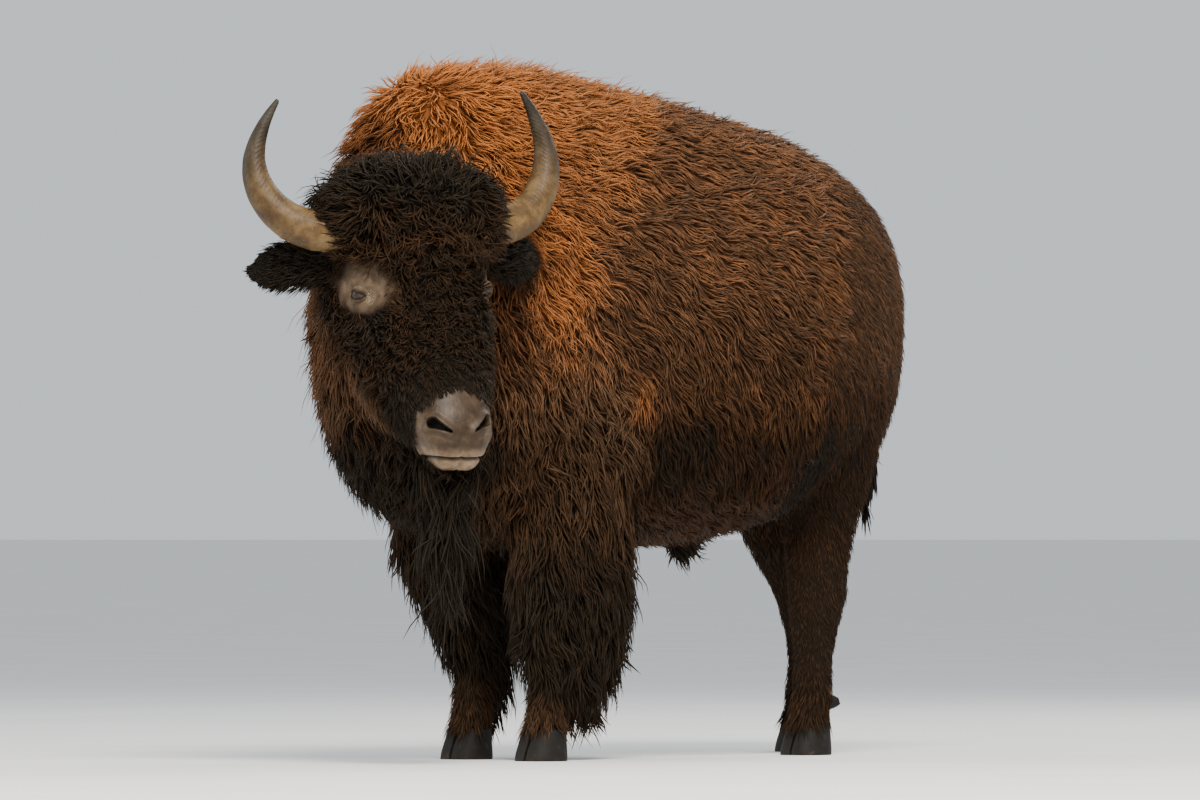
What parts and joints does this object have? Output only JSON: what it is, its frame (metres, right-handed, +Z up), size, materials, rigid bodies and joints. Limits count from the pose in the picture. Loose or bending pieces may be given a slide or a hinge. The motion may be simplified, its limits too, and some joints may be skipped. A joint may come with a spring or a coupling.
{
  "type": "standing american bison bull, still museum model",
  "caption": "Life-size still model of a shaggy American bison bull, standing square-on its legs with its horned, bearded head turned to its left; it rests on its cloven hooves.",
  "frame": {"origin": "middle of the bounding box, on the ground between the feet", "axes": "+Z up; the body faces -Y, so +Y runs towards the tail, and the animal's left side is +X"},
  "size_m": [0.97, 2.5216, 1.7489],
  "materials": {
    "cape": "long soft woolly hair, rust to orange brown",
    "coat": "wavy woolly locks, mid to dark brown",
    "face": "tight dark curls, with a bare leathery nose",
    "dark_hair": "long near-black hair with a soft sheen",
    "ear_hair": "short black hair with a brown fringe",
    "leg_coat": "short sleek chocolate hair",
    "tail_coat": "short brown hair",
    "belly_coat": "sparse dark hair",
    "horn": "scuffed olive-tan horn, dark grey towards the tip",
    "hoof": "worn dark horn",
    "eye": "wet dark brown"
  },
  "bodies": {
    "root": {"trunk": "coat", "neck": "cape", "head": "face", "forelock": "dark_hair", "beard": "dark_hair", "chaps_left": "dark_hair", "chaps_right": "dark_hair", "tail_tuft": "dark_hair", "ear_left": "ear_hair", "ear_right": "ear_hair", "forearm_fore_left": "leg_coat", "forearm_fore_right": "leg_coat", "shin_fore_left": "leg_coat", "shin_fore_right": "leg_coat", "thigh_hind_left": "leg_coat", "thigh_hind_right": "leg_coat", "shank_hind_left": "leg_coat", "shank_hind_right": "leg_coat", "tail": "tail_coat", "sheath": "belly_coat", "horn_left": "horn", "horn_right": "horn", "eye_left": "eye", "eye_right": "eye", "hoof_fore_left_inner": "hoof", "dewclaw_fore_left_inner": "hoof", "hoof_fore_left_outer": "hoof", "dewclaw_fore_left_outer": "hoof", "hoof_fore_right_inner": "hoof", "dewclaw_fore_right_inner": "hoof", "hoof_fore_right_outer": "hoof", "dewclaw_fore_right_outer": "hoof", "hoof_hind_left_inner": "hoof", "dewclaw_hind_left_inner": "hoof", "hoof_hind_left_outer": "hoof", "dewclaw_hind_left_outer": "hoof", "hoof_hind_right_inner": "hoof", "dewclaw_hind_right_inner": "hoof", "hoof_hind_right_outer": "hoof", "dewclaw_hind_right_outer": "hoof"}
  },
  "joints": []
}
